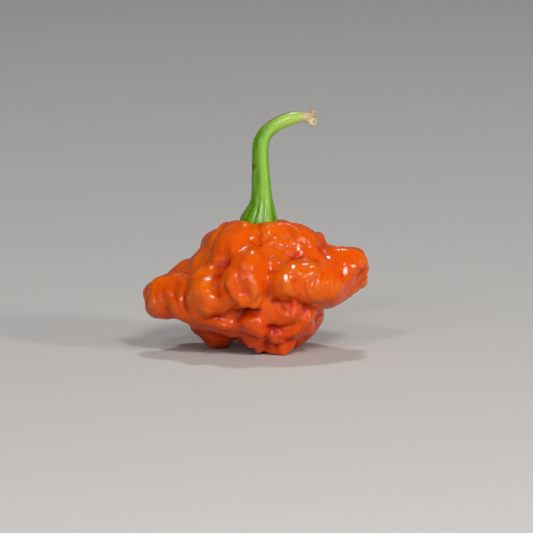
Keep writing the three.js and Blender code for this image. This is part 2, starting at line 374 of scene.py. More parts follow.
# The stalk's shape, which the fruit's seat needs too

stalk = {
    # middle, radius and depth of the ribs, from the foot of the cap to the torn end
    "rings": [
        ((0.6, 0, 30.9), 4.92, 0.3), ((0.68, 0, 32.5), 4.8, 0.35), ((0.95, 0, 34.2), 4.15, 0.3),
        ((1.2, 0, 36.1), 3.3, 0.2), ((1.28, 0, 38.1), 2.7, 0.1), ((1.2, 0, 40.6), 2.44, 0.06),
        ((1.1, 0, 43.4), 2.32, 0.05), ((0.98, 0, 46.6), 2.14, 0.04), ((0.95, 0.2, 50.2), 2.04, 0.04),
        ((1.25, 0.4, 52.4), 1.96, 0.04), ((2.2, 0.7, 54.2), 1.86, 0.04), ((3.65, 1.1, 55.65), 1.76, 0.04),
        ((5.5, 1.6, 56.8), 1.74, 0.04), ((7.9, 2.2, 57.65), 1.76, 0.04), ((10.2, 2.8, 58.15), 1.5, 0.03),
        ((12.1, 3.3, 58.2), 1.1, 0), ((13.6, 3.7, 58), 0.9, 0),
    ],
    "seatGap": 0.2,
    "steps": 300,
    "sizes": {"Sides": 120, "Ribs": 10, "Flute": 0.34, "Streaks": 26.0, "Streak Depth": 0.02},
}


def curveThrough(knots, t):
    # a centripetal Catmull-Rom curve through the knots, at t from 0 to 1
    knots = np.array(knots, float)
    knots = np.vstack([2 * knots[0] - knots[1], knots, 2 * knots[-1] - knots[-2]])
    place = np.clip(t, 0, 1) * (len(knots) - 3)
    n = np.minimum(place.astype(int), len(knots) - 4)
    w = (place - n)[:, None]
    a, b, c, d = (knots[n + i] for i in range(4))
    gap = lambda p, q: np.maximum(np.linalg.norm(q - p, axis=1, keepdims=True) ** 0.5, 1e-4)
    ab, bc, cd = gap(a, b), gap(b, c), gap(c, d)
    into = ((b - a) / ab - (c - a) / (ab + bc) + (c - b) / bc) * bc
    away = ((c - b) / bc - (d - b) / (bc + cd) + (d - c) / cd) * bc
    return b + into * w + (3 * (c - b) - 2 * into - away) * w ** 2 + (2 * (b - c) + into + away) * w ** 3


# The picture that the camera takes

view = {
    "pixelSize": 0.25,             # mm of the object for a pixel of the picture
    "pictureWidth": 533,           # pixels
    "zeroPixel": (256.5, 354),     # where x = 0 and the front toes' foot are in the picture
    "toesDepth": -8,               # mm, how far back the toes stand
    "elevation": 8,                # degrees
    "distance": 1700,              # mm
}
tiltCos, tiltSin = math.cos(math.radians(view["elevation"])), math.sin(math.radians(view["elevation"]))


# The fruit

flesh = {
    "step": 0.32,
    "swell": 0.12,
    "footSoft": 0.5,
    # name, middle, half-lengths, tilt that lifts the right end, and how softly it melts into the rest
    "lobes": [
        ("core", (0.5, 0.5, 17), (20, 14.5, 11), 0, 3),
        ("lower core", (1.5, 0, 9), (12.4, 10.4, 8), 0, 2.5),
        ("crown right", (7, -0.5, 24.9), (10.6, 11, 7.6), -8, 2.4),
        ("crown front", (3.5, -6, 24.2), (6.5, 6, 6.2), 0, 2),
        ("crown left", (-4.6, -3.4, 25), (6.6, 9.6, 7.2), 0, 1.2),
        ("crown bridge", (1.2, -5, 27.5), (5, 4.6, 5), 0, 1.6),
        ("crown rim", (-2.8, -4.2, 28.4), (4.2, 3.6, 4.1), 0, 1.2),
        ("crown rim right", (5.6, -3.6, 29), (3.6, 3.2, 3.9), 0, 1.4),
        ("crown back", (1, 8, 24), (11, 8, 7.2), 0, 1.8),
        ("left flank", (-9, -6.4, 22.8), (4, 6.2, 8.2), -20, 1.6),
        ("left ridge", (-11, 0.5, 25), (3.2, 6, 7.8), -29, 0.8),
        ("left ridge foot", (-13.6, -2.2, 20.4), (3, 4.5, 5), -16, 1.2),
        ("nose", (-2.4, -11.6, 20.6), (6.2, 7.6, 7.4), 0, 3.6),
        ("nose ridge", (-1, -14.8, 19.2), (2.8, 5.4, 6.2), 6, 2),
        ("nose left", (-5.4, -14.4, 19.4), (3.6, 5.2, 4.6), 0, 1.4),
        ("chin left", (-4.3, -15.6, 15.9), (3.8, 4.4, 3.2), 0, 1.2),
        ("chin right", (-0.2, -14.8, 16.6), (3, 4.4, 3), 20, 1.2),
        ("chin root", (-3.4, -8.4, 12), (5, 4, 4.4), 0, 1),
        ("nose web", (3.6, -13, 15.6), (3.2, 4, 4), 0, 1.5),
        ("wing inner", (7, -12.4, 19.2), (5.8, 6.8, 5.2), 0, 1.6),
        ("wing middle", (12.4, -10, 18.2), (7, 7.5, 6.2), 0, 2.4),
        ("wing outer", (16.8, -7, 18), (6.4, 7.5, 6.9), 10, 2.4),
        ("wing bump", (12.6, -12.4, 21.4), (3.8, 3.8, 3.6), 0, 1.2),
        ("horn", (21.4, -1.5, 21.6), (6.9, 7, 5), -10, 2.2),
        ("horn under", (20.4, -3.5, 18), (4.6, 6, 4.8), 35, 2),
        ("horn back", (25.2, 3.5, 18.6), (2.7, 4.6, 3.4), 25, 0.6),
        ("horn bead", (23.6, 2, 16.2), (2.4, 3.6, 2), 30, 0.6),
        ("crown nub", (16.2, 0.6, 27.7), (1.6, 2.4, 1.8), -30, 0.8),
        ("tip", (-22.2, -3, 13.6), (6.2, 6.6, 5.6), 34, 1.6),
        ("tip flap", (-20.2, -2.8, 16.8), (5, 5.6, 3), 34, 0.5),
        ("rear left", (-17.4, 4.5, 17.8), (6, 6.5, 3.6), 33, 0.6),
        ("tip root", (-17.4, -6.4, 13.6), (4.6, 6, 5.8), 0, 2),
        ("cheek", (-12.2, -10.8, 16.6), (5.2, 6.6, 6), 0, 1),
        ("cheek low", (-13, -9.8, 12.4), (4.2, 5.6, 4.4), 0, 1.6),
        ("cheek inner", (-7.6, -12.2, 13.6), (3.8, 4.4, 3.4), -12, 1.2),
        ("cheek nub", (-14.6, -9, 9.3), (2.3, 2.8, 2.2), 0, 1.4),
        ("strip", (-7.4, -9.3, 9), (8.8, 5.2, 3.5), -7, 0.6),
        ("strip root", (-4.6, -10.6, 10.8), (3.6, 4, 3), 0, 1.5),
        ("foot left", (-10, 2.4, 6.6), (5.8, 7, 6.8), 28, 1),
        ("low centre", (0, -11.8, 9.2), (4.1, 5.6, 4.5), 0, 1),
        ("low right top", (6.4, -10.6, 11.6), (5.2, 5.4, 5), 0, 1.4),
        ("low right", (10.6, -7.6, 9.8), (4.2, 5.8, 4.8), 0, 1.4),
        ("low right lip", (7.3, -9, 6.1), (5, 5, 3), 10, 0.8),
        ("low right side", (11.2, -5.8, 7.4), (3.2, 5.2, 3.4), 34, 0.7),
        ("foot right", (10.2, 4.2, 6.8), (5.2, 7, 7.4), -28, 0.5),
        ("foot right side", (13.8, 1.2, 9.8), (2.6, 4.5, 3.2), 0, 0.7),
        ("toe root", (0, -9, 4.6), (3.7, 3.6, 3.1), 0, 1),
        ("toe web", (3, -7.6, 3.3), (3, 2.8, 3), 0, 0.8),
        ("toe left", (1, -8.6, 2.8), (1.6, 2.8, 2.75), 0, 0.8),
        ("toe middle", (4.2, -7.8, 2.6), (1.9, 3, 2.4), 0, 0.5),
        ("toe right", (6.7, -8.2, 2.6), (2.3, 3.2, 3), 0, 0.5),
        ("crown left back", (-8.4, 6, 23.6), (5.4, 6.6, 6.8), -24, 1.4),
        ("back left", (-11.4, 10.5, 16.6), (7.6, 7.5, 6.2), 0, 1.6),
        ("back middle", (-1, 13.5, 18), (6.8, 7.2, 7), 0, 1.2),
        ("back right", (10, 12, 17.5), (7.6, 7.2, 6.4), 0, 1.2),
        ("back right end", (17, 6.5, 18.4), (6.6, 7, 5.6), 0, 1.4),
        ("back seam", (3.6, 16.4, 19), (2.8, 3.6, 5.6), -14, 1),
        ("back brow left", (-6.6, 12.2, 21.6), (4.2, 4.8, 4.4), 24, 2.2),
        ("back brow right", (8.8, 11.6, 22.6), (4.6, 4.8, 3.8), -22, 2),
        ("back chin", (-3.6, 15.6, 13.6), (4.4, 3.8, 3.2), 12, 1.8),
        ("back knob left", (-14.6, 12.4, 14.2), (3.2, 3.8, 3.2), 28, 0.8),
        ("back knob right", (14.6, 10.8, 15), (4, 4.4, 3.4), 14, 1.4),
        ("back low left", (-5.8, 8.8, 9.6), (5.2, 6.4, 5), 14, 0.9),
        ("back low side", (-10.8, 7.4, 7.6), (3.2, 4.4, 3.6), 30, 0.8),
        ("back low middle", (0.6, 10.4, 7.4), (3.8, 5.4, 5.4), 8, 0.9),
        ("back low right", (7, 8.8, 9.2), (5, 6.4, 5.2), -16, 0.9),
        ("back low fold", (4.8, 10.4, 5), (3.4, 3.8, 2.8), -20, 1.4),
        ("back low crease", (-3.4, 10.8, 5.4), (3, 3.8, 2.8), 24, 1.4),
    ],
    # long waves that push the lobes out of true: along, wavelength, phase, push
    "warps": [
        ((0.2, 0.9, 0.4), 13, 0.4, (0.44, 0.055, 0.275)),
        ((0.9, -0.3, 0.3), 9, 1.9, (0.04, 0.24, 0.32)),
        ((0.5, 0.3, -0.8), 11, 3.1, (0.315, -0.27, 0.09)),
    ],
    # short waves that swell the skin: along, wavelength, phase
    "swells": [
        ((0.86, 0.3, 0.41), 6.1, 0), ((-0.35, 0.52, 0.78), 5, 1.3), ((0.61, -0.66, 0.44), 4.4, 2.1),
        ((-0.72, -0.14, 0.68), 5.6, 4), ((0.15, 0.88, -0.45), 4.8, 5.2),
    ],
}


def outsideFlesh(p):
    p = np.asarray(p, np.float32)
    q = p.copy()
    for along, length, phase, push in flesh["warps"]:
        q += wave(p, along, length, phase)[:, None] * np.array(push, np.float32)
    far = np.full(len(p), 1e3, np.float32)
    for _, middle, half, tilt, soft in flesh["lobes"]:
        far = melt(far, outsideLobe(q, middle, half, tilt), soft)
    far -= flesh["swell"] * sum(wave(p, *swell) for swell in flesh["swells"])
    # the cap's foot sits in a hollow that follows its girth
    rings = stalk["rings"][:3]
    foot = rings[0][0]
    girth = np.interp(p[:, 2], [ring[0][2] for ring in rings], [ring[1] for ring in rings])
    seat = np.hypot(p[:, 0] - foot[0], p[:, 1]) - girth - stalk["seatGap"]
    seat = np.maximum(seat, foot[2] - stalk["seatGap"] - p[:, 2])
    return -melt(-np.maximum(far, -seat), p[:, 2], flesh["footSoft"])


def inChunks(outside, chunk=60000):
    # the same field, worked out for so many points at a time
    return lambda p: np.concatenate([outside(p[n:n + chunk]) for n in range(0, len(p), chunk)])


outsideFruit = inChunks(outsideFlesh)
fleshSpots, fleshFaces = netOf(outsideFruit, (-32, -24, -1.5), (32, 24, 36), flesh["step"])
fleshSpots = ontoZero(fleshSpots, outsideFruit)
print("fruit netted:", len(fleshSpots), "vertices,", len(fleshFaces), "faces")

# the origin is the middle of the base, as in the part
middle = (fleshSpots.min(0) + fleshSpots.max(0)) / 2
toFrame = np.array([-middle[0], -middle[1], 0])
fruit = meshObject("fruit_skin", (fleshSpots + toFrame) * mm, fleshFaces)
print("moved by", toFrame.round(3), "mm")

# The folds of its skin

folds = {
    # how high each stands (a crease is below 0) and its half-width, in mm, then the line it follows in the
    # camera's picture, in pixels
    "front": [
        # crown
        (0.9, 1.5, [(240, 224), (246, 223.5), (255, 223)]),
        (-0.5, 0.6, [(258.5, 221), (258.5, 231), (259.5, 239), (260, 244)]),
        (0.3, 0.8, [(253, 238), (254, 232), (256, 229)]),
        (-0.6, 1.1, [(229, 257), (236, 251), (243, 247), (251, 247), (260, 244.5), (267, 244)]),
        (-0.5, 0.9, [(265, 244), (277, 247), (288, 254), (296, 257), (301, 259.5)]),
        (-0.4, 0.9, [(301, 259.5), (311, 260), (320, 258), (328, 254)]),
        (-0.4, 0.4, [(261, 244), (264, 240), (269, 236)]),
        (-0.4, 0.4, [(260, 244), (254, 242), (249, 240)]),
        (0.25, 0.7, [(268, 229), (272, 226), (276, 227)]),
        (0.25, 0.7, [(276, 239), (279, 234), (278, 231)]),
        (0.25, 0.8, [(291, 229), (296, 230), (301, 234)]),
        (0.3, 0.8, [(305, 238), (311, 240), (318, 243)]),
        (-0.3, 0.5, [(284, 226), (289, 231), (293, 238), (299, 243)]),
        (-0.3, 0.5, [(297, 225), (303, 231), (308, 236), (319, 248)]),
        (-0.3, 0.5, [(302, 240), (307, 247), (314, 251)]),
        (-0.25, 0.5, [(273, 233), (283, 239), (289, 248)]),
        (-0.3, 0.5, [(281, 250), (289, 246), (296, 248)]),
        # left ridge and flank
        (-0.7, 0.5, [(225, 223), (218, 232), (214, 240), (209.5, 249), (206.5, 258), (204.5, 266)]),
        (-0.3, 0.5, [(211, 230), (205, 240), (201, 252), (198, 262)]),
        (0.3, 0.8, [(222, 245), (221, 250), (224, 254)]),
        (0.35, 0.9, [(212, 261), (218, 260), (224, 261)]),
        (-0.35, 0.6, [(212, 266), (219, 266), (226, 264)]),
        (-0.5, 0.6, [(189, 281), (196, 277), (204, 272), (211, 272)]),
        (-0.5, 0.5, [(176, 273), (182, 275), (189, 281)]),
        # cheek
        (0.3, 0.7, [(212, 276), (217, 272), (223, 270)]),
        (0.3, 0.7, [(200, 285), (205, 282), (212, 281)]),
        (-0.35, 0.5, [(206, 278), (213, 277), (220, 276)]),
        (0.35, 0.9, [(203, 291), (208, 295), (212, 300)]),
        (0.3, 0.7, [(219, 298), (222, 301)]),
        (-0.3, 0.7, [(193, 296), (203, 306), (214, 311)]),
        (-0.3, 0.6, [(194, 311), (200, 314), (206, 321)]),
        # nose
        (-0.6, 0.7, [(232, 254), (228, 259), (226, 268), (224, 277), (223, 286), (226, 294), (230, 301),
                     (236, 306)]),
        (0.3, 1.3, [(252, 270), (253, 280), (253, 290), (254, 301)]),
        (0.3, 0.7, [(234, 265.5), (239, 264.5), (244, 266)]),
        (0.3, 0.7, [(250, 268), (254, 266.5), (259, 267)]),
        (0.3, 0.6, [(232, 280), (233, 275), (237, 272)]),
        (0.3, 0.6, [(240, 274), (242, 278), (244, 279)]),
        (0.35, 0.7, [(225, 283), (229, 284)]),
        (-0.2, 0.8, [(246, 274), (247, 284), (248, 294)]),
        (-0.2, 0.5, [(231, 291), (236, 293), (241, 292)]),
        (-0.15, 1.0, [(270, 257), (269, 268), (267, 280), (267, 290)]),
        (-0.5, 0.6, [(255, 304), (258, 299), (262, 295)]),
        # wing
        (0.5, 0.8, [(270, 264), (272, 260), (277, 258)]),
        (-0.35, 0.6, [(270, 268), (273, 271), (278, 271)]),
        (-0.3, 0.7, [(282, 268), (279, 276), (280, 286)]),
        (0.3, 0.8, [(288, 271), (294, 270), (300, 274)]),
        (0.35, 0.8, [(302, 278), (308, 275), (315, 272), (321, 269)]),
        (-0.3, 0.5, [(301, 271), (307, 269), (315, 267)]),
        (-0.5, 0.6, [(296, 276), (294, 284), (296, 294)]),
        (0.4, 0.6, [(300, 277), (302, 282), (308, 284)]),
        (0.4, 0.6, [(313, 277), (318, 280), (320, 286)]),
        (0.35, 0.6, [(288, 281), (290, 286), (295, 289)]),
        (-0.45, 0.5, [(304, 280), (303, 288), (306, 296)]),
        (-0.5, 0.5, [(316, 275), (312, 283), (311, 292)]),
        (-0.5, 0.5, [(325, 271), (321, 279), (319, 290)]),
        (-0.35, 0.45, [(331, 273), (328, 281), (327, 290), (328, 297)]),
        (-0.35, 0.45, [(337, 275), (335, 283), (333, 293)]),
        (-0.3, 0.45, [(343, 274), (341, 283), (339, 292)]),
        (-0.3, 0.45, [(349, 280), (346, 288), (343, 294)]),
        (-0.6, 0.7, [(278, 298), (284, 298), (296, 301), (304, 307), (314, 309), (321, 312), (328, 310)]),
        # horn
        (-0.3, 0.7, [(330, 254), (336, 259), (339, 268)]),
        (-0.3, 0.6, [(341, 249), (347, 257), (349, 268), (353, 278)]),
        (-0.35, 0.5, [(351, 249), (357, 256), (359, 266), (358, 278)]),
        (-0.35, 0.5, [(357, 251), (363, 258), (365, 267), (362, 277)]),
        (-0.5, 0.5, [(368, 268), (363, 273), (358, 280), (356, 287)]),
        (0.35, 0.6, [(344, 262), (348, 264), (350, 267)]),
        # tip
        (-0.3, 0.7, [(158, 284), (155, 292), (156, 303)]),
        (-0.5, 0.8, [(166, 279), (162, 290), (163, 301), (167, 312)]),
        (-0.5, 0.7, [(177, 281), (174, 291), (176, 303), (180, 313)]),
        (-0.6, 0.6, [(188, 281), (187, 288), (183, 297), (184, 306), (186, 314)]),
        (0.4, 0.7, [(164, 292), (168, 292), (172, 294)]),
        (0.4, 0.7, [(160, 300), (163, 303), (163, 307)]),
        (0.35, 0.6, [(169, 300), (173, 302), (176, 306)]),
        (0.3, 0.7, [(179, 297), (181, 301), (183, 303)]),
        # between the tiers
        (-0.7, 0.7, [(203, 321), (214, 318.5), (224, 317), (232, 311), (236, 307)]),
        (-0.8, 0.7, [(200, 324), (210, 330), (222, 333.5), (236, 334), (243, 335)]),
        (0.3, 0.8, [(220, 324), (230, 325), (236, 321)]),
        (-0.35, 0.6, [(196, 326), (203, 333), (214, 338), (228, 339)]),
        (-0.3, 0.6, [(197, 333), (205, 341), (214, 345)]),
        # lower tier
        (0.35, 0.9, [(246, 313), (251, 308.5), (259, 309), (267, 314)]),
        (-0.4, 0.5, [(248, 317), (254, 313), (262, 314)]),
        (-0.35, 0.6, [(262, 317), (266, 321), (268, 326)]),
        (-0.35, 0.45, [(271, 303), (276, 300), (281, 304), (285, 310)]),
        (-0.35, 0.45, [(275, 311), (281, 308), (287, 311), (292, 306)]),
        (-0.35, 0.45, [(289, 299), (291, 306), (288, 314), (290, 320)]),
        (-0.3, 0.4, [(282, 298), (286, 303), (293, 303)]),
        (-0.35, 0.5, [(297, 300), (299, 309), (297, 319), (300, 326)]),
        (-0.3, 0.5, [(304, 303), (306, 312), (303, 322)]),
        (0.35, 0.6, [(278, 306), (282, 302), (286, 298)]),
        (0.35, 0.6, [(281, 315), (285, 313), (289, 317)]),
        (0.35, 0.6, [(302, 319), (307, 321), (311, 319)]),
        (-0.8, 0.7, [(264, 329), (269, 326.5), (275, 327.5)]),
        (-0.25, 0.8, [(266, 333), (267, 339), (266, 346)]),
        (-0.5, 0.5, [(276, 338), (288, 341), (297, 337), (304, 332), (309, 327), (313, 322)]),
        (-0.4, 0.5, [(278, 330), (285, 333), (292, 331)]),
        (-0.2, 0.5, [(278, 342), (277, 346), (278, 350)]),
        (-0.3, 0.5, [(303, 336), (306, 341), (305, 346)]),
        (-0.3, 0.5, [(312, 328), (317, 333), (317, 338)]),
    ],
    "sharpness": 1.4,
    "drawnShare": 0.35,     # how much less the noise wrinkles the skin where the lines do
    # where the skin is most wrinkled: middle and reach, mm
    "wrinkled": [
        ((11, -7, 28), 8), ((17, -13, 18), 7), ((7, -14, 12), 6), ((26, 0, 18), 6), ((-6, 15, 20), 7),
        ((12, 13, 15), 7), ((-24, -4, 13), 5), ((-4, 7, 30), 6), ((2, 10, 8), 5), ((18, 8, 20), 6),
        ((-10, -4, 6), 6),
    ],
    # raised all round by the node tree, in mm
    "sizes": {
        "Fold Depth": 0.5, "Fold Size": 4.6, "Pucker Depth": 0.3, "Pucker Size": 2.1,
        "Wrinkle Depth": 0.1, "Wrinkle Size": 1.0, "Stretch": 0.5, "Seed": 4.0,
    },
}

skin = {
    "orange": (0.66, 0.073, 0.0003),
    "yellow": (0.7, 0.132, 0.0006),
    "red": (0.49, 0.02, 0.0002),
    "deepRed": (0.37, 0.01, 0.0001),
    "gloss": 0.6,
    "glossRoughness": 0.04,
    "reliefDepth": 0.026,   # mm
}


def pictureOf(spots):
    # each spot's pixel in the camera's picture, and how far away it is
    x, y, z = (spots - toFrame).T
    height = tiltCos * z + tiltSin * (y - view["toesDepth"])
    place = np.stack([x, -height], 1) / view["pixelSize"] + np.array(view["zeroPixel"])
    return place, tiltCos * y - tiltSin * z


def nearestOnLine(here, line):
    # how far each pixel is from a line, and the share of the line's length that is behind its nearest place
    line = np.array(line, float)
    reach = np.diff(line, axis=0)
    length = np.linalg.norm(reach, axis=1)
    away = here[:, None] - line[:-1]
    t = np.clip((away * reach).sum(2) / length ** 2, 0, 1)
    gaps = np.linalg.norm(away - t[..., None] * reach, axis=2)
    n = gaps.argmin(1)
    rows = np.arange(len(here))
    behind = (np.cumsum(length) - length)[n] + t[rows, n] * length[n]
    return gaps[rows, n], behind / length.sum()


def drawFolds():
    # presses the creases and raises the ridges in the skin that the camera sees
    spots, outward = places(fruit), normals(fruit)
    here, far = pictureOf(spots)
    cell = tuple((here // 2).astype(int).T)  # two pixels wide
    nearest = np.full((view["pictureWidth"] // 2,) * 2, 1e3)
    np.minimum.at(nearest, cell, far)
    facing = outward[:, 2] * tiltSin - outward[:, 1] * tiltCos
    seen = spread(fruit, ramp(facing, 0, 0.35) * (far < nearest[cell] + 2.5), 2)
    rise = np.zeros(len(spots))
    for height, width, line in folds["front"]:
        gap, share = nearestOnLine(here, line)
        taper = (4 * share * (1 - share)) ** 0.4
        profile = np.exp(-(gap * view["pixelSize"] / width) ** folds["sharpness"])
        rise += height * (0.3 + 0.7 * taper) * profile
    smooth = np.stack([spread(fruit, outward[:, i], 6) for i in range(3)], 1)
    moved = (spots + smooth * (rise * seen)[:, None]) * mm
    fruit.data.vertices.foreach_set("co", moved.astype(np.float32).ravel())
    fruit.data.update()
    # the node tree wrinkles the skin most where this is highest, and least at the feet
    wrinkled = np.max([np.exp(-(((spots - toFrame - middle) / reach) ** 2).sum(1))
                       for middle, reach in folds["wrinkled"]], axis=0)
    share = (0.35 + 0.65 * wrinkled) * (1 - folds["drawnShare"] * seen)
    setAttribute(fruit, "wrinkled", share * (0.25 + 0.75 * ramp(spots[:, 2], 1, 6)))


def markHollows():
    # how far each vertex lies below (hollow, groove) or above (crest) the skin smoothed out round it, as
    # masks for the painted shade in hollows and grooves and the painted light on crests
    spots, outward = places(fruit), normals(fruit)
    for name, rounds, reach in (("hollow_shade", 60, 0.9), ("groove_shade", 10, 0.16)):
        smooth = np.stack([spread(fruit, spots[:, i], rounds) for i in range(3)], 1)
        below = ((smooth - spots) * outward).sum(1)
        setAttribute(fruit, name, spread(fruit, ramp(below, -0.25 * reach, reach), 2))
        if name == "hollow_shade":
            setAttribute(fruit, "crest_light", spread(fruit, ramp(-below, 0, reach), 2))
    # how much of the fruit stands in front of each vertex, from 3 mm and 7 mm out, as a mask for the
    # painted shade in deep valleys
    closed = [1 - outsideFruit(spots - toFrame + outward * out) / out for out in (3, 7)]
    setAttribute(fruit, "valley_shade", spread(fruit, ramp(np.mean(closed, axis=0), 0.15, 0.9), 14))


def skinMaterial():
    material, tree, shader = newMaterial("ripe_skin")
    where = addNode(tree, "ShaderNodeTexCoord").outputs["Object"]
    hollow_shade, groove_shade, crest_light = markNode(tree, "hollow_shade"), markNode(tree, "groove_shade"), markNode(tree, "crest_light")
    patches = noiseNode(tree, where, 1 / (9 * mm), 3, 0.55)
    flecks = noiseNode(tree, where, 1 / (0.9 * mm), 4, 0.6)
    # yellower in random patches, and lighter on its crests as painted light
    warm = plus(tree, rampNode(tree, patches, 0.38, 0.66, 0, 0.45),
                rampNode(tree, crest_light, 0.0, 0.8, 0, 0.55))
    colour = blendColour(tree, warm, skin["orange"], skin["yellow"])
    # redder in random flecks; redder and darker in hollows, towards the bottom, in grooves and in deep
    # valleys, as painted shade
    low = rampNode(tree, splitVector(tree, where)[2], 18 * mm, 4 * mm, 0, 0.6)
    redder = plus(tree, rampNode(tree, hollow_shade, 0.25, 0.8, 0, 0.6),
                  plus(tree, rampNode(tree, flecks, 0.5, 0.8, 0, 0.12), low))
    colour = blendColour(tree, redder, colour, skin["red"])
    colour = blendColour(tree, rampNode(tree, groove_shade, 0.5, 1.0, 0, 0.5), colour, skin["deepRed"])
    # painted shade in deep valleys, where the rest of the fruit stands close in front
    valley_shade = rampNode(tree, markNode(tree, "valley_shade"), 0.05, 0.95, 0, 0.75)
    colour = blendColour(tree, valley_shade, colour, skin["deepRed"])
    fine = noiseNode(tree, where, 1 / (0.75 * mm), 3, 0.6, 0.6)
    finer = noiseNode(tree, where, 1 / (0.22 * mm), 2, 0.5)
    relief = plus(tree, fine, times(tree, finer, 0.18))
    feed(tree, shader, Base_Color=colour, Roughness=rampNode(tree, patches, 0.3, 0.7, 0.16, 0.27),
         Normal=bumpNode(tree, relief, skin["reliefDepth"]), Specular_IOR_Level=0.02,
         Coat_Weight=skin["gloss"], Coat_Roughness=skin["glossRoughness"], Coat_IOR=1.45,
         Subsurface_Weight=0.12, Subsurface_Radius=(1.0, 0.25, 0.06), Subsurface_Scale=1.2 * mm)
    return material


def wrinkleTree():
    # raises folds, puckers and fine wrinkles all over the skin, along its normals. The folds run down from
    # the cap, because their noise is drawn out away from the fruit's axis and down
    tree, given = newGeometryTree("skin_wrinkles", folds["sizes"])
    inMm = vectorMath(tree, "SCALE", addNode(tree, "GeometryNodeInputPosition").outputs[0], 1 / mm)
    flat = vectorMath(tree, "MULTIPLY", inMm, (1, 1, 0))
    reach = plus(tree, vectorMath(tree, "LENGTH", flat), 1.0)
    around = vectorMath(tree, "SCALE", flat, mathNode(tree, "DIVIDE", 4.0, mathNode(tree, "SQRT", reach)))
    down = vectorMath(tree, "SCALE", vectorMath(tree, "MULTIPLY", inMm, (0, 0, 1)), given["Stretch"])
    drawnOut = vectorMath(tree, "ADD", vectorMath(tree, "ADD", around, down), given["Seed"])
    heights = []
    layers = (("Fold", drawnOut, 1.0), ("Pucker", drawnOut, 1.5), ("Wrinkle", inMm, 3.0))
    for title, place, detail in layers:
        scale = mathNode(tree, "DIVIDE", 1.0, given[title + " Size"])
        noise = noiseNode(tree, place, scale, detail, 0.5, 0.5)
        # its creases are sharp and its bulges round
        bulge = mathNode(tree, "ABSOLUTE", mathNode(tree, "SUBTRACT", noise, 0.5))
        bulge = mathNode(tree, "POWER", times(tree, bulge, 4.0), 0.7)
        bulge = mathNode(tree, "SUBTRACT", mathNode(tree, "MINIMUM", bulge, 1.0), 0.45)
        heights.append(times(tree, bulge, given[title + " Depth"]))
    height = plus(tree, heights[0], heights[1])
    height = mathNode(tree, "MULTIPLY_ADD", height, storedValue(tree, "wrinkled"), heights[2])
    normal = addNode(tree, "GeometryNodeInputNormal").outputs[0]
    offset = vectorMath(tree, "SCALE", normal, times(tree, height, mm))
    return closeTree(tree, moveAndSmooth(tree, given["Geometry"], Offset=offset), given["Material"])


drawFolds()
runTree(fruit, wrinkleTree(), skinMaterial(), folds["sizes"])
markHollows()
print("skin folded and wrinkled:", len(fruit.data.polygons), "faces")


# The stalk and its cap

green = {
    "dark": (0.055, 0.165, 0.0004),
    "mid": (0.14, 0.35, 0.001),
    "pale": (0.3, 0.56, 0.08),
    "yellow": (0.34, 0.49, 0.075),
    "brown": (0.15, 0.14, 0.03),
    "tan": (0.50, 0.40, 0.19),
    "cream": (0.60, 0.52, 0.30),
    "pink": (0.42, 0.27, 0.18),
    "pith": (0.29, 0.31, 0.18),
    "stain": (0.045, 0.05, 0.004),
    "stainPlace": (-0.6, -1.6, 46.3),     # mm, where the brown stain on its left is
    "stainReach": (1.1, 1.2, 1.5),
    "gloss": 0.7,
    "reliefDepth": 0.07,                  # mm
}

tornEnd = {
    "step": 0.09,
    # name, middle, half-lengths, tilt and softness, as the fruit's lobes
    "lobes": [
        ("neck", (12.2, 3.35, 58.12), (1.9, 1.22, 1.24), -3, 0.3),
        ("upper root", (13.4, 3.6, 58.65), (1.3, 0.95, 0.72), 18, 0.4),
        ("upper lip", (14.3, 3.7, 59.0), (0.84, 0.9, 0.96), 0, 0.35),
        ("upper fold", (14.1, 4.3, 58.75), (0.7, 0.6, 0.8), 20, 0.2),
        ("lower root", (13.2, 3.7, 57.65), (1.3, 1.0, 0.78), -35, 0.4),
        ("lower lip", (14.05, 3.75, 56.75), (0.94, 1.0, 1.08), -30, 0.35),
        ("lower fold", (13.6, 3.0, 56.9), (0.7, 0.5, 0.85), -30, 0.2),
    ],
    # hollows in the lips' faces: middle, half-lengths
    "hollows": [((14.9, 3.0, 58.8), (0.5, 0.42, 0.45)), ((14.6, 2.9, 57.0), (0.55, 0.38, 0.6))],
    "sizes": {
        "Rough Depth": 0.05, "Rough Size": 0.7, "Fibres": 46.0, "Fibre Length": 0.32,
        "Fibre Thickness": 0.03, "Seed": 7,
    },
}


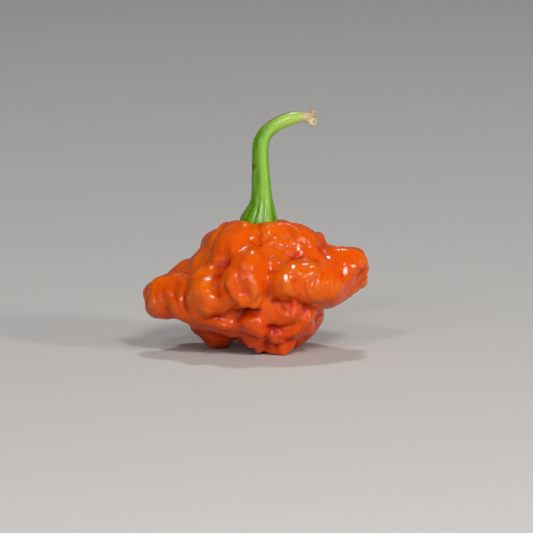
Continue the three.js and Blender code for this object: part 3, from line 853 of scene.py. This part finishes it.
def stalkTree():
    # sweeps a circle along the route, swells it to each place's girth, and flutes it
    tree, given = newGeometryTree("fluted_stalk", stalk["sizes"])
    where = addNode(tree, "GeometryNodeInputPosition").outputs[0]
    route = feed(tree, addNode(tree, "GeometryNodeMeshToCurve"), Mesh=given["Geometry"]).outputs[0]
    route = storeValue(tree, route, "centre", where, "FLOAT_VECTOR")
    ring = addNode(tree, "GeometryNodeCurvePrimitiveCircle")
    ring = feed(tree, ring, Resolution=given["Sides"], Radius=1 * mm).outputs[0]
    ring = storeValue(tree, ring, "around", vectorMath(tree, "SCALE", where, 1 / mm), "FLOAT_VECTOR")
    sweep = addNode(tree, "GeometryNodeCurveToMesh")
    feed(tree, sweep, Curve=route, Profile_Curve=ring, Fill_Caps=True)
    centre = storedValue(tree, "centre", "FLOAT_VECTOR")
    x, y, _ = splitVector(tree, storedValue(tree, "around", "FLOAT_VECTOR"))
    girth, rib, along = storedValue(tree, "girth"), storedValue(tree, "rib"), storedValue(tree, "along")
    # no two ribs are quite as wide
    angle = mathNode(tree, "ARCTAN2", y, x)
    sway = mathNode(tree, "SINE", mathNode(tree, "MULTIPLY_ADD", angle, 3.0, 0.6))
    uneven = mathNode(tree, "MULTIPLY_ADD", sway, 0.16, angle)
    ribs = times(tree, uneven, mathNode(tree, "DIVIDE", given["Ribs"], 2.0))
    ridge = mathNode(tree, "POWER", mathNode(tree, "ABSOLUTE", mathNode(tree, "COSINE", ribs)), 0.7)
    fluting = times(tree, mathNode(tree, "SUBTRACT", ridge, 0.72), times(tree, rib, given["Flute"]))
    # streaks run along it
    sample = joinVector(tree, times(tree, x, given["Streaks"]), times(tree, y, given["Streaks"]),
                        times(tree, along, 9.0))
    noise = noiseNode(tree, sample, 0.16, 3.0, 0.6, 0.2)
    streak = times(tree, mathNode(tree, "SUBTRACT", noise, 0.5), times(tree, given["Streak Depth"], 4.0))
    reach = plus(tree, girth, plus(tree, fluting, streak))
    arm = vectorMath(tree, "SCALE", vectorMath(tree, "SUBTRACT", where, centre), reach)
    skinned = moveAndSmooth(tree, sweep.outputs[0], Position=vectorMath(tree, "ADD", centre, arm))
    # how deep in a groove between ribs each spot is, for the material's painted shade in the grooves
    groove_shade = times(tree, rampNode(tree, ridge, 0.75, 0.25), rib)
    return closeTree(tree, storeValue(tree, skinned, "groove_shade", groove_shade), given["Material"])


def makeStalk():
    t = np.linspace(0, 1, stalk["steps"])
    route = curveThrough([ring[0] for ring in stalk["rings"]], t)
    girth = curveThrough([(ring[1], ring[2], 0) for ring in stalk["rings"]], t)
    edges = [(n, n + 1) for n in range(len(t) - 1)]
    piece = meshObject("stalk", (route + toFrame) * mm, [], edges)
    setAttribute(piece, "girth", girth[:, 0])
    setAttribute(piece, "rib", ramp(girth[:, 1], 0, 0.3))
    setAttribute(piece, "along", t)
    return piece


def stalkMaterial():
    material, tree, shader = newMaterial("green_stalk")
    where = addNode(tree, "ShaderNodeTexCoord").outputs["Object"]
    normal = addNode(tree, "ShaderNodeNewGeometry").outputs["Normal"]
    along, groove_shade = markNode(tree, "along"), markNode(tree, "groove_shade")
    drawnOut = joinVector(tree, 0.0, 0.0, times(tree, along, 1.6))
    drawnOut = vectorMath(tree, "ADD", markNode(tree, "around", "Vector"), drawnOut)
    streaks = noiseNode(tree, drawnOut, 4.5, 4.0, 0.65, 0.3)
    fine = noiseNode(tree, drawnOut, 16.0, 3.0, 0.6)
    blotches = noiseNode(tree, where, 1 / (1.1 * mm), 3, 0.6, 0.4)
    colour = blendColour(tree, rampNode(tree, streaks, 0.32, 0.64), green["dark"], green["mid"])
    colour = blendColour(tree, rampNode(tree, fine, 0.5, 0.72, 0, 0.45), colour, green["pale"])
    # painted sheen: its front is paler towards the right, above the cap
    rightward = vectorMath(tree, "DOT_PRODUCT", normal, (0.5, -0.84, 0.2))
    painted_sheen = times(tree, rampNode(tree, rightward, 0.82, 0.98, 0, 0.62),
                  rampNode(tree, along, 0.08, 0.3, 0.35, 1))
    colour = blendColour(tree, painted_sheen, colour, green["pale"])
    # pale blotches near the cap's rim, painted as wet highlights, and painted shade in the grooves between
    # its ribs
    rim = times(tree, rampNode(tree, along, 0.16, 0.02), rampNode(tree, blotches, 0.52, 0.68, 0, 0.75))
    colour = blendColour(tree, rim, colour, green["pale"])
    colour = blendColour(tree, times(tree, groove_shade, 0.8), colour, green["dark"])
    # yellower round the hook, with a brown bloom along its upper edge
    colour = blendColour(tree, rampNode(tree, along, 0.58, 0.82, 0, 0.85), colour, green["yellow"])
    upward = rampNode(tree, vectorMath(tree, "DOT_PRODUCT", normal, (-0.35, 0.2, 0.92)), 0.7, 0.95)
    bloom = times(tree, upward, rampNode(tree, along, 0.6, 0.75, 0, 0.9))
    colour = blendColour(tree, bloom, colour, green["brown"])
    # the brown stain on its left
    away = vectorMath(tree, "SUBTRACT", where, tuple(np.array(green["stainPlace"]) * mm))
    away = vectorMath(tree, "DIVIDE", away, tuple(np.array(green["stainReach"]) * mm))
    ragged = mathNode(tree, "MULTIPLY_ADD", blotches, 1.6, -0.8)
    spot = plus(tree, vectorMath(tree, "LENGTH", away), ragged)
    colour = blendColour(tree, rampNode(tree, spot, 1.0, 0.3, 0, 0.8), colour, green["stain"])
    # a ragged tan end
    end = mathNode(tree, "MULTIPLY_ADD", streaks, 0.12, along)
    colour = blendColour(tree, rampNode(tree, end, 0.92, 0.99), colour, green["tan"])
    relief = plus(tree, fine, times(tree, blotches, 0.5))
    feed(tree, shader, Base_Color=colour, Roughness=rampNode(tree, streaks, 0.3, 0.7, 0.3, 0.42),
         Normal=bumpNode(tree, relief, green["reliefDepth"]), Specular_IOR_Level=0.08,
         Coat_Weight=green["gloss"], Coat_Roughness=0.3, Coat_IOR=1.5)
    return material


stem = makeStalk()
runTree(stem, stalkTree(), stalkMaterial(), stalk["sizes"])
print("stalk swept:", len(stem.data.polygons), "faces")


# The torn end of the stalk, with its two dry lips

def outsideTornEnd(p):
    far = np.full(len(p), 1e3)
    for _, middle, half, tilt, soft in tornEnd["lobes"]:
        far = melt(far, outsideLobe(p, middle, half, tilt), soft)
    for middle, half in tornEnd["hollows"]:
        far = -melt(-far, outsideLobe(p, middle, half, 0), 0.25)
    return far


def tornTree():
    # roughens the lips, and sets short dry fibres on their torn faces
    tree, given = newGeometryTree("torn_lips", tornEnd["sizes"])
    inMm = vectorMath(tree, "SCALE", addNode(tree, "GeometryNodeInputPosition").outputs[0], 1 / mm)
    noise = noiseNode(tree, inMm, mathNode(tree, "DIVIDE", 1.0, given["Rough Size"]), 3.0, 0.6)
    height = times(tree, mathNode(tree, "SUBTRACT", noise, 0.5), times(tree, given["Rough Depth"], 4 * mm))
    offset = vectorMath(tree, "SCALE", addNode(tree, "GeometryNodeInputNormal").outputs[0], height)
    lips = moveAndSmooth(tree, given["Geometry"], Offset=offset)
    tornArea = 8 * mm ** 2
    density = times(tree, storedValue(tree, "torn"), times(tree, given["Fibres"], 1 / tornArea))
    scatter = addNode(tree, "GeometryNodeDistributePointsOnFaces")
    feed(tree, scatter, Mesh=lips, Density=density, Seed=given["Seed"])
    fibre = addNode(tree, "GeometryNodeMeshCone")
    feed(tree, fibre, Vertices=5, Radius_Top=0.2 * mm, Radius_Bottom=1 * mm, Depth=1 * mm)
    size = addNode(tree, "FunctionNodeRandomValue", data_type="FLOAT")
    feed(tree, size, Seed=given["Seed"])
    size.inputs[2].default_value = 0.4  # the shortest fibre's share of the longest
    length = times(tree, size.outputs[1], given["Fibre Length"])
    plant = addNode(tree, "GeometryNodeInstanceOnPoints")
    feed(tree, plant, Points=scatter.outputs["Points"], Instance=fibre.outputs["Mesh"],
         Rotation=scatter.outputs["Rotation"],
         Scale=joinVector(tree, given["Fibre Thickness"], given["Fibre Thickness"], length))
    both = addNode(tree, "GeometryNodeJoinGeometry")
    for part in (plant.outputs[0], lips):
        tree.links.new(part, both.inputs[0])
    return closeTree(tree, both.outputs[0], given["Material"])


def tornMaterial():
    material, tree, shader = newMaterial("dry_end")
    where = addNode(tree, "ShaderNodeTexCoord").outputs["Object"]
    lower, torn, neck = markNode(tree, "lower"), markNode(tree, "torn"), markNode(tree, "neck")
    grain = noiseNode(tree, where, 1 / (0.5 * mm), 4, 0.65, 0.5)
    colour = blendColour(tree, lower, green["pink"], green["cream"])
    colour = blendColour(tree, rampNode(tree, grain, 0.4, 0.75, 0, 0.6), colour, green["tan"])
    colour = blendColour(tree, times(tree, torn, 0.75), colour, green["pith"])
    colour = blendColour(tree, neck, colour, green["tan"])
    feed(tree, shader, Base_Color=colour, Roughness=rampNode(tree, grain, 0.3, 0.7, 0.45, 0.7),
         Normal=bumpNode(tree, grain, 0.08))
    return material


def makeTornEnd():
    spots, faces = netOf(outsideTornEnd, (9.6, 1.4, 55.4), (16, 5.8, 60.6), tornEnd["step"])
    spots = ontoZero(spots, outsideTornEnd)
    piece = meshObject("torn_end", (spots + toFrame) * mm, faces)
    inHollow = np.min([outsideLobe(spots, middle, half, 0) for middle, half in tornEnd["hollows"]], axis=0)
    setAttribute(piece, "torn", ramp(-inHollow, -0.22, 0.02))
    setAttribute(piece, "lower", ramp(-spots[:, 2] + 0.25 * (spots[:, 0] - 13), -58.2, -57.4))
    setAttribute(piece, "neck", ramp(-spots[:, 0], -13.3, -12.2))
    return piece


dryEnd = makeTornEnd()
runTree(dryEnd, tornTree(), tornMaterial(), tornEnd["sizes"])
print("torn end made:", len(dryEnd.data.polygons), "faces")


# Camera, floor and light

look = {
    "worldStrength": 0.1,
    "world": (0.95, 0.97, 1.0),
    "floor": (0.54, 0.53, 0.52),
    # name, place in mm, width and height in mm, watts, colour
    "lamps": [
        ("keyLamp", (300, -900, 800), (220, 220), 6.8, (1, 0.98, 0.95)),
        ("frontLamp", (-60, -1240, 330), (100, 100), 1.4, (1, 0.98, 0.96)),
        ("sideLamp", (1000, -700, 420), (170, 280), 6.4, (1, 0.98, 0.96)),
        ("fillLamp", (-560, -1080, 420), (110, 110), 1.6, (0.98, 0.98, 1)),
        ("upperLamp", (-300, -980, 760), (150, 150), 2.6, (1, 0.99, 0.97)),
        ("rimLamp", (100, 700, 1500), (190, 190), 7.6, (1, 0.99, 0.97)),
    ],
    "aim": (0, 0, 22),
}


def pointAt(thing, target):
    thing.rotation_euler = (Vector(target) - thing.location).to_track_quat("-Z", "Y").to_euler()


def makeCamera():
    half = view["pictureWidth"] / 2
    x = (half - view["zeroPixel"][0]) * view["pixelSize"] + toFrame[0]
    height = (view["zeroPixel"][1] - half) * view["pixelSize"] + tiltSin * view["toesDepth"]
    target = Vector((x, toFrame[1], height / tiltCos)) * mm
    camera = newObject("camera", bpy.data.cameras.new("camera"))
    camera.location = target + Vector((0, -tiltCos, tiltSin)) * view["distance"] * mm
    pointAt(camera, target)
    pictureSize = view["pictureWidth"] * view["pixelSize"]
    camera.data.lens = camera.data.sensor_width * view["distance"] / pictureSize
    camera.data.clip_start = 0.01
    camera.data.clip_end = 60
    bpy.context.scene.camera = camera


def makeFloor():
    sides, reach = 96, 7  # its reach is in metres
    around = [2 * math.pi * n / sides for n in range(sides)]
    rim = [(reach * math.cos(a), reach * math.sin(a), 0) for a in around]
    floor = meshObject("floor", rim, [list(range(sides))])
    material, tree, shader = newMaterial("pale_floor")
    feed(tree, shader, Base_Color=(*look["floor"], 1), Roughness=0.7)
    floor.data.materials.append(material)


def makeLamps():
    for name, place, (width, height), watts, colour in look["lamps"]:
        lamp = bpy.data.lights.new(name, "AREA")
        lamp.shape = "RECTANGLE"
        lamp.size, lamp.size_y = width * mm, height * mm
        lamp.energy = watts
        lamp.color = colour
        holder = newObject(name, lamp)
        holder.location = Vector(place) * mm
        pointAt(holder, Vector(look["aim"]) * mm)
    # the picture shows the colours as they are, without a film's rolling off
    bpy.context.scene.view_settings.view_transform = "Standard"
    world = bpy.data.worlds.new("studio")
    bpy.context.scene.world = world
    world.use_nodes = True
    background = world.node_tree.nodes["Background"]
    feed(world.node_tree, background, Color=(*look["world"], 1), Strength=look["worldStrength"])


makeCamera()
makeFloor()
makeLamps()
print("camera, floor and lamps made")

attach(fruit, "root")
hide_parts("fruit")
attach(stem, "root")
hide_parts("stalk_and_cap")
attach(dryEnd, "root")
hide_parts("stalk_and_cap")
